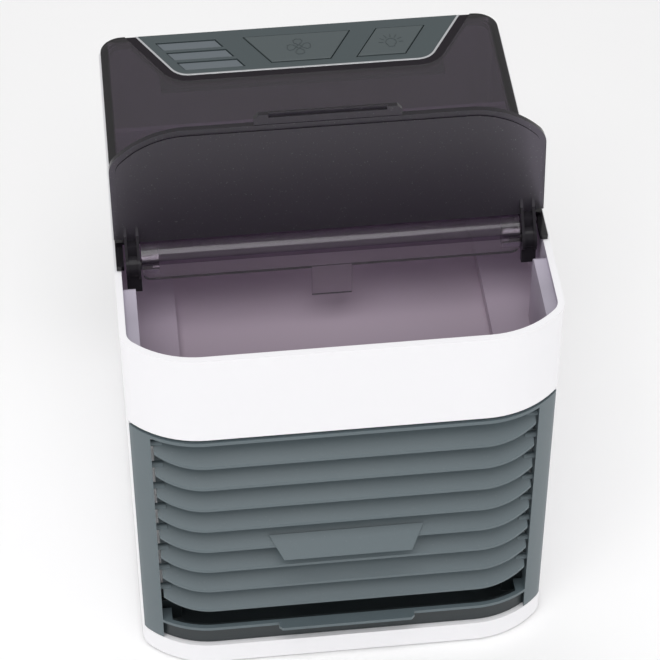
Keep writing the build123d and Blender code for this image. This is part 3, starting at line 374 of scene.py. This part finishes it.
# ---- Feet, screws and drip valves ---------------------------------------------------------
# Black rubber discs pressed into the base, zinc-plated screws with a cross recess, and
# two milky silicone valves pushed into the tank floor.
rubber_black = moulded("foot_rubber", (0.028, 0.028, 0.030), 0.75, cloud=0.2, pore=1500.0,
                       depth=0.12)
screw_zinc = moulded("screw_zinc", (0.62, 0.62, 0.60), 0.32, cloud=0.12, pore=900.0, depth=0.05,
                     Metallic=1.0)
valve_silicone = moulded("valve_silicone", (0.66, 0.65, 0.68), 0.4, cloud=0.06,
                         Subsurface_Weight=0.1)
MOULDED_EDGE = 0.0003
SMALL_EDGE = 0.0002
FINE_EDGE = 0.0001
softened("rubber_feet", rubber_black, MOULDED_EDGE, "casing")
softened("case_screws", screw_zinc, FINE_EDGE, "casing")
softened("fan_screws", screw_zinc, FINE_EDGE, "casing")
softened("drip_nozzles", valve_silicone, SMALL_EDGE, "casing")

# ---- Drawer front and louvres -------------------------------------------------------------
# Blue-grey ABS: one wrap-round frame with a finger pull, and eight thin blades snapped into
# its side flanges. The blades share a charcoal link bar, and a charcoal drip tray joins the
# frame from behind.
louvre_grey = moulded("louvre_grey", (0.104, 0.136, 0.150), 0.42, cloud=0.05, depth=0.05, dust=0.05)
SLAT_COUNT = 8
SLAT_EDGE = 0.00022
softened("front_bezel", louvre_grey, MOULDED_EDGE, "drawer")
for number in range(1, SLAT_COUNT + 1):
    softened(f"louvre_slat_{number}", louvre_grey, SLAT_EDGE, f"slat_{number}")
charcoal = moulded("charcoal_plastic", (0.018, 0.025, 0.028), 0.5, cloud=0.1, depth=0.08)
softened("louvre_link", charcoal, SMALL_EDGE, "link")
softened("drawer_tray", charcoal, MOULDED_EDGE, "drawer")

# ---- Filter cartridge ---------------------------------------------------------------------
# A natural plastic frame that stands in the drip tray and holds upright fins of absorbent
# paper. Each fin is a thin corrugated sheet that stands edge-on to the air.
filter_plastic = moulded("filter_plastic", (0.62, 0.64, 0.68), 0.5, cloud=0.05)
filter_paper = moulded("filter_paper", (0.70, 0.74, 0.78), 0.95, cloud=0.3, pore=700.0, depth=0.5)
softened("filter_frame", filter_plastic, MOULDED_EDGE, "drawer")
FIN_COUNT = 11
FIN_T = 0.0024
PAPER_T = 0.0005
PLEATS_PER_FIN = 8
POINTS_PER_PLEAT = 12
fin_low, fin_high = (Vector(corner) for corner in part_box("filter_fins"))
fin_row = fin_high - fin_low
fin_pitch = (fin_row.x - FIN_T) / (FIN_COUNT - 1)


def group_input(tree, label, kind, value=None):
    """Adds one named input to a geometry node group."""
    socket = tree.interface.new_socket(label, in_out="INPUT", socket_type=kind)
    if value is not None:
        socket.default_value = value


def build_pleated_fins():
    """Node group: a row of thin corrugated paper sheets standing side by side."""
    tree = bpy.data.node_groups.new("pleated_fins", "GeometryNodeTree")
    group_input(tree, "Count", "NodeSocketInt", FIN_COUNT)
    group_input(tree, "Pitch", "NodeSocketFloat", fin_pitch)
    group_input(tree, "Sheet Size", "NodeSocketVector", (PAPER_T, fin_row.y, fin_row.z))
    group_input(tree, "Pleat Depth", "NodeSocketFloat", (FIN_T - PAPER_T) / 2)
    group_input(tree, "Pleat Length", "NodeSocketFloat", fin_row.y / PLEATS_PER_FIN)
    group_input(tree, "Material", "NodeSocketMaterial")
    tree.interface.new_socket("Geometry", in_out="OUTPUT", socket_type="NodeSocketGeometry")
    enter = tree.nodes.new("NodeGroupInput")
    leave = tree.nodes.new("NodeGroupOutput")
    sheet = tree.nodes.new("GeometryNodeMeshCube")
    sheet.inputs["Vertices Y"].default_value = PLEATS_PER_FIN * POINTS_PER_PLEAT + 1
    here = tree.nodes.new("GeometryNodeInputPosition")
    split = tree.nodes.new("ShaderNodeSeparateXYZ")
    phase = tree.nodes.new("ShaderNodeMath")
    phase.operation = "DIVIDE"
    wave = tree.nodes.new("ShaderNodeMath")
    wave.operation = "MULTIPLY"
    wave.inputs[1].default_value = 2 * math.pi
    sine = tree.nodes.new("ShaderNodeMath")
    sine.operation = "SINE"
    height = tree.nodes.new("ShaderNodeMath")
    height.operation = "MULTIPLY"
    shift = tree.nodes.new("ShaderNodeCombineXYZ")
    bend = tree.nodes.new("GeometryNodeSetPosition")
    step = tree.nodes.new("ShaderNodeCombineXYZ")
    row = tree.nodes.new("GeometryNodeMeshLine")
    copies = tree.nodes.new("GeometryNodeInstanceOnPoints")
    real = tree.nodes.new("GeometryNodeRealizeInstances")
    coat = tree.nodes.new("GeometryNodeSetMaterial")
    link_into(
        tree,
        (enter.outputs["Sheet Size"], sheet.inputs["Size"]),
        (here.outputs["Position"], split.inputs["Vector"]),
        (split.outputs["Y"], phase.inputs[0]),
        (enter.outputs["Pleat Length"], phase.inputs[1]),
        (phase.outputs[0], wave.inputs[0]),
        (wave.outputs[0], sine.inputs[0]),
        (sine.outputs[0], height.inputs[0]),
        (enter.outputs["Pleat Depth"], height.inputs[1]),
        (height.outputs[0], shift.inputs["X"]),
        (sheet.outputs["Mesh"], bend.inputs["Geometry"]),
        (shift.outputs["Vector"], bend.inputs["Offset"]),
        (enter.outputs["Pitch"], step.inputs["X"]),
        (enter.outputs["Count"], row.inputs["Count"]),
        (step.outputs["Vector"], row.inputs["Offset"]),
        (row.outputs["Mesh"], copies.inputs["Points"]),
        (bend.outputs["Geometry"], copies.inputs["Instance"]),
        (copies.outputs["Instances"], real.inputs["Geometry"]),
        (real.outputs["Geometry"], coat.inputs["Geometry"]),
        (enter.outputs["Material"], coat.inputs["Material"]),
        (coat.outputs["Geometry"], leave.inputs["Geometry"]),
    )
    return tree


def run_nodes(piece, tree, values):
    """Puts a node group on a piece, sets its inputs by identifier and keeps the plain mesh."""
    modifier = piece.modifiers.new(tree.name, "NODES")
    modifier.node_group = tree
    for item in tree.interface.items_tree:
        if item.item_type == "SOCKET" and item.in_out == "INPUT" and item.name in values:
            modifier[item.identifier] = values[item.name]
    piece.update_tag()
    made = bpy.data.objects.new(piece.name + "_made", plain_mesh(piece))
    bpy.context.scene.collection.objects.link(made)
    bpy.data.objects.remove(piece)
    return made


fin_seed = bpy.data.objects.new("filter_pleats", bpy.data.meshes.new("filter_pleats"))
bpy.context.scene.collection.objects.link(fin_seed)
pleats = run_nodes(fin_seed, build_pleated_fins(), {
    "Count": FIN_COUNT, "Pitch": fin_pitch, "Material": filter_paper,
    "Sheet Size": (PAPER_T, fin_row.y, fin_row.z),
    "Pleat Depth": (FIN_T - PAPER_T) / 2, "Pleat Length": fin_row.y / PLEATS_PER_FIN,
})
first_fin = (fin_low.x + FIN_T / 2, (fin_low.y + fin_high.y) / 2, (fin_low.z + fin_high.z) / 2)
pleats.data.transform(Matrix.Translation(first_fin))
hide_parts("filter_fins")
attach(pleats, "drawer")

# ---- Smoked lid and deck ------------------------------------------------------------------
# Plastic tinted a smoky violet: the glossy fixed deck with its rolled nose, and the satin
# flip-up filling lid with a stepped rim and two hinge ears. Thicker places, such as the deck's
# turned-down border, let less light through. Painted shade darkens the deck's border and the
# channel round the panel, and a painted highlight lies on the lid's bead flank.
smoke_look = dict(Transmission_Weight=0.94, IOR=1.49)
smoke_deck = moulded("smoked_plastic_deck", (0.255, 0.205, 0.275), 0.09, cloud=0.05, depth=0.006,
                     dust=0.35, **smoke_look)
smoke_lid = moulded("smoked_plastic_lid", (0.112, 0.098, 0.128), 0.36, cloud=0.05, depth=0.006,
                    dust=0.5, Transmission_Weight=0.82, IOR=1.49, Specular_IOR_Level=0.36)
# Painted highlight: a lighter copy of the smoked plastic for the flank of the lid's bead.
smoke_glint = moulded("smoked_plastic_glint", (0.250, 0.235, 0.262), 0.3, cloud=0.1, depth=0.006)
smoke_thin = moulded("smoked_plastic_thin", (0.75, 0.70, 0.75), 0.10, cloud=0.03, depth=0.006,
                     **smoke_look)
smoke_thick = moulded("smoked_plastic_thick", (0.020, 0.018, 0.022), 0.16, cloud=0.05,
                      depth=0.006, Specular_IOR_Level=0.14)
# Painted shade: a darker, duller copy of the smoked plastic for the sunk channel round the panel.
smoke_channel_shade = moulded("smoked_plastic_channel_shade", (0.016, 0.013, 0.017), 0.4, cloud=0.05,
                        depth=0.006, Specular_IOR_Level=0.12)
deck_low, deck_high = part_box("deck_cover")
BORDER_OUTER = 0.0024
BORDER_INNER = 0.0034
CHANNEL_W = 0.0040
CHANNEL_DEPTH = 0.0008
SURFACE_MARGIN = 0.0001
RIM_T = 0.001
NOSE_DROP = 0.0050
NOSE_BLEND = 0.0003
FLANGE_SETBACK = 0.0045
FLANGE_T = 0.003
FLANGE_HALF_W = 0.0654
LEVEL_MARK_HALF_W = 0.0075
EAR_INNER_X = 0.0655
EAR_REACH = 0.004
LID_OPEN_DEG = 97.0
nose_low_z = deck_high.z - NOSE_DROP
flange_y = deck_low.y + FLANGE_SETBACK
channel_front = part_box("panel_trim")[0].y - CHANNEL_W


def paint_border_shade(paint):
    """Painted shade: darkens the deck's colour over the last few millimetres before its sides and
    back, where the thicker border lets less light through.
    """
    tree = paint.node_tree
    place = tree.nodes.new("ShaderNodeTexCoord")
    split = tree.nodes.new("ShaderNodeSeparateXYZ")
    off_middle = tree.nodes.new("ShaderNodeMath")
    off_middle.operation = "ABSOLUTE"
    side = tree.nodes.new("ShaderNodeMapRange")
    side.interpolation_type = "SMOOTHSTEP"
    side.inputs["From Min"].default_value = deck_high.x - BORDER_INNER
    side.inputs["From Max"].default_value = deck_high.x - BORDER_OUTER
    back = tree.nodes.new("ShaderNodeMapRange")
    back.interpolation_type = "SMOOTHSTEP"
    back.inputs["From Min"].default_value = deck_high.y - BORDER_INNER
    back.inputs["From Max"].default_value = deck_high.y - BORDER_OUTER
    either = tree.nodes.new("ShaderNodeMath")
    either.operation = "MAXIMUM"
    deep = tree.nodes.new("ShaderNodeMix")
    deep.data_type = "RGBA"
    # Colour of the painted shade along the border.
    deep.inputs["B"].default_value = (0.030, 0.026, 0.032, 1)
    skin = tree.nodes["Group"]
    link_into(
        tree,
        (place.outputs["Object"], split.inputs["Vector"]),
        (split.outputs["X"], off_middle.inputs[0]),
        (off_middle.outputs[0], side.inputs["Value"]),
        (split.outputs["Y"], back.inputs["Value"]),
        (side.outputs["Result"], either.inputs[0]),
        (back.outputs["Result"], either.inputs[1]),
        (either.outputs[0], deep.inputs["Factor"]),
        (skin.outputs["Colour"], deep.inputs["A"]),
        (deep.outputs["Result"], tree.nodes["Principled BSDF"].inputs["Base Color"]),
    )


def sunk_channel(centre, normal):
    """Floor and side of the channel round the control panel, which get the painted shade."""
    below_deck = deck_high.z - CHANNEL_DEPTH < centre.z < deck_high.z - SURFACE_MARGIN
    faces_up_or_sideways = normal.z > -0.1
    return below_deck and faces_up_or_sideways and centre.y > channel_front


def thick_edge(centre, normal):
    """The deck's rim and the lower edges of its front flange and level mark."""
    outermost = abs(centre.x) > deck_high.x - RIM_T or centre.y > deck_high.y - RIM_T
    upright = abs(normal.z) < 0.6
    under_nose = centre.z < nose_low_z
    faces_down = normal.z < -0.5
    faces_sideways = abs(normal.x) > 0.6
    low_edge = under_nose and faces_down and centre.y < flange_y + FLANGE_T
    mark_edge = under_nose and faces_sideways and abs(centre.x) < LEVEL_MARK_HALF_W
    return (outermost and upright) or low_edge or mark_edge


def thin_front(centre, normal):
    """The deck's thin front flange and the level mark that hangs from it."""
    between_cheeks = abs(centre.x) < FLANGE_HALF_W
    in_flange = abs(centre.y - flange_y) < FLANGE_T
    return between_cheeks and in_flange and centre.z < nose_low_z + NOSE_BLEND


lid_open = math.radians(LID_OPEN_DEG)
lid_facing = Vector((0, -math.sin(lid_open), -math.cos(lid_open)))
lid_middle = (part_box("flap_lid")[0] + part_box("flap_lid")[1]) / 2


def across_lid(normal):
    """True for a face that lies across the lid's thickness."""
    return abs(normal.dot(lid_facing)) < 0.5


def lid_rim(centre, normal):
    """The lid's edges, seen through their whole width, and its solid hinge ears."""
    ear = abs(centre.x) > EAR_INNER_X and centre.z < deck_high.z + EAR_REACH
    return ear or across_lid(normal)


def lid_bead(centre, normal):
    """The inner flank of the lid's sealing bead, which gets a painted highlight."""
    inward = normal.dot(centre - lid_middle) < 0
    return inward and across_lid(normal) and centre.z > deck_high.z + EAR_REACH


# Painted shade along the deck's sides and back.
paint_border_shade(smoke_deck)
deck_finishes = (
    (smoke_thin, thin_front), (smoke_channel_shade, sunk_channel), (smoke_thick, thick_edge),
)
lid_finishes = ((smoke_thick, lid_rim), (smoke_glint, lid_bead))
DECK_EDGE = 0.0004
LID_EDGE = 0.00022
softened("deck_cover", smoke_deck, DECK_EDGE, "casing", steps=3, others=deck_finishes)
softened("flap_lid", smoke_lid, LID_EDGE, "lid", others=lid_finishes)

# ---- Control panel ------------------------------------------------------------------------
# A matt blue-grey inlay with a bright trim line, three frosted level bars and two keys that
# press on click switches. Each key has a shallow raised sign.
panel_grey = moulded("panel_grey", (0.055, 0.073, 0.078), 0.5, cloud=0.05, depth=0.05)
key_grey = moulded("key_grey", (0.068, 0.086, 0.090), 0.48, cloud=0.05, depth=0.04)
frosted = moulded("frosted_bar", (0.118, 0.140, 0.156), 0.35, cloud=0.04)
bright_line = moulded("trim_line", (0.66, 0.67, 0.69), 0.25, cloud=0.04, Metallic=0.85)
softened("control_panel", panel_grey, SMALL_EDGE, "casing")
softened("panel_trim", bright_line, FINE_EDGE, "casing")
softened("level_bars", frosted, SMALL_EDGE, "casing")
softened("fan_button", key_grey, FINE_EDGE, "fan_key")
softened("light_button", key_grey, FINE_EDGE, "light_key")
sign_grey = moulded("sign_grey", (0.042, 0.055, 0.059), 0.4, cloud=0.05)
STROKE_RADIUS = 0.00015


def build_round_pattern():
    """Node group that repeats a drawn stroke round a centre and gives it a round section."""
    tree = bpy.data.node_groups.new("round_pattern", "GeometryNodeTree")
    group_input(tree, "Geometry", "NodeSocketGeometry")
    group_input(tree, "Count", "NodeSocketInt", 1)
    group_input(tree, "Step", "NodeSocketFloat", 0.0)
    group_input(tree, "Stroke Radius", "NodeSocketFloat", STROKE_RADIUS)
    group_input(tree, "Material", "NodeSocketMaterial")
    tree.interface.new_socket("Geometry", in_out="OUTPUT", socket_type="NodeSocketGeometry")
    enter = tree.nodes.new("NodeGroupInput")
    leave = tree.nodes.new("NodeGroupOutput")
    spots = tree.nodes.new("GeometryNodeMeshLine")
    spots.inputs["Offset"].default_value = (0, 0, 0)
    number = tree.nodes.new("GeometryNodeInputIndex")
    angle = tree.nodes.new("ShaderNodeMath")
    angle.operation = "MULTIPLY"
    turn = tree.nodes.new("ShaderNodeCombineXYZ")
    copies = tree.nodes.new("GeometryNodeInstanceOnPoints")
    real = tree.nodes.new("GeometryNodeRealizeInstances")
    section = tree.nodes.new("GeometryNodeCurvePrimitiveCircle")
    section.inputs["Resolution"].default_value = 8
    tube = tree.nodes.new("GeometryNodeCurveToMesh")
    coat = tree.nodes.new("GeometryNodeSetMaterial")
    link_into(
        tree,
        (enter.outputs["Count"], spots.inputs["Count"]),
        (number.outputs["Index"], angle.inputs[0]),
        (enter.outputs["Step"], angle.inputs[1]),
        (angle.outputs[0], turn.inputs["Z"]),
        (spots.outputs["Mesh"], copies.inputs["Points"]),
        (enter.outputs["Geometry"], copies.inputs["Instance"]),
        (turn.outputs["Vector"], copies.inputs["Rotation"]),
        (copies.outputs["Instances"], real.inputs["Geometry"]),
        (real.outputs["Geometry"], tube.inputs["Curve"]),
        (enter.outputs["Stroke Radius"], section.inputs["Radius"]),
        (section.outputs["Curve"], tube.inputs["Profile Curve"]),
        (tube.outputs["Mesh"], coat.inputs["Geometry"]),
        (enter.outputs["Material"], coat.inputs["Material"]),
        (coat.outputs["Geometry"], leave.inputs["Geometry"]),
    )
    return tree


def raised_stroke(name, stroke, place, body, count=1, step=0):
    """A thin raised stroke on a key's face, in millimetres, repeated round the sign's centre.

    count is how many times it is drawn, and step the turn between two of them, in degrees.
    """
    curve = bpy.data.curves.new(name, "CURVE")
    curve.dimensions = "3D"
    line = curve.splines.new("POLY")
    line.points.add(len(stroke) - 1)
    for point, (x, y) in zip(line.points, stroke):
        point.co = (x / 1000, y / 1000, 0, 1)
    drawn = bpy.data.objects.new(name, curve)
    bpy.context.scene.collection.objects.link(drawn)
    made = run_nodes(drawn, round_pattern, {
        "Count": count, "Step": math.radians(step), "Stroke Radius": STROKE_RADIUS,
        "Material": sign_grey,
    })
    made.data.transform(Matrix.Translation(place))
    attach(made, body)


def arc_points(radius, start=0.0, sweep=360.0, steps=20):
    """Points along an arc in a key's face, in millimetres and degrees."""
    turns = [math.radians(start + sweep * n / steps) for n in range(steps + 1)]
    return [(radius * math.cos(turn), radius * math.sin(turn)) for turn in turns]


round_pattern = build_round_pattern()
FAN_SIGN_X = -0.0009
LIGHT_SIGN_DROP = 0.001
key_low, key_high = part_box("light_button")
key_middle = (key_low + key_high) / 2
fan_sign = (FAN_SIGN_X, key_middle.y, key_high.z)
petal = [
    (0.0, 0.9), (-1.7, 2.2), (-1.9, 3.6), (-0.9, 4.4),
    (0.8, 4.3), (1.5, 3.2), (0.9, 1.9), (0.0, 0.9),
]
raised_stroke("fan_sign_petals", petal, fan_sign, "fan_key", count=4, step=90)
raised_stroke("fan_sign_hub", arc_points(0.8), fan_sign, "fan_key")
light_sign = (key_middle.x, key_middle.y - LIGHT_SIGN_DROP, key_high.z)
ray = [(2.9, 0.0), (4.6, 0.0)]
glass = arc_points(2.0, start=-50, sweep=280)
bulb = glass + [(-1.0, -2.6), (1.0, -2.6), glass[0]]
raised_stroke("light_sign_rays", ray, light_sign, "light_key", count=7, step=30)
raised_stroke("light_sign_bulb", bulb, light_sign, "light_key")

# ---- Fan ----------------------------------------------------------------------------------
# Charcoal duct and wheel, a small can motor held in the duct's spider, and the round
# grey guard clipped over the intake.
softened("rear_grille", louvre_grey, MOULDED_EDGE, "casing")
softened("fan_shroud", charcoal, MOULDED_EDGE, "casing")
softened("fan_impeller", charcoal, MOULDED_EDGE, "impeller")
softened("fan_motor", screw_zinc, MOULDED_EDGE, "casing")

# ---- Electronics --------------------------------------------------------------------------
# Green solder-masked boards, a folded steel power inlet, black click switches that sit under
# the two keys, and clear diodes on the strip board under the tank.
solder_mask = moulded("solder_mask", (0.012, 0.110, 0.045), 0.3, cloud=0.15, pore=1200.0, depth=0.1)
switch_black = moulded("switch_black", (0.02, 0.02, 0.02), 0.45)
diode_clear = moulded("diode_clear", (0.85, 0.84, 0.72), 0.2)
for part_name, paint in (
    ("control_board", solder_mask), ("power_board", solder_mask), ("light_board", solder_mask),
    ("tact_switches", switch_black), ("power_socket", screw_zinc), ("light_leds", diode_clear),
):
    softened(part_name, paint, FINE_EDGE, "casing")
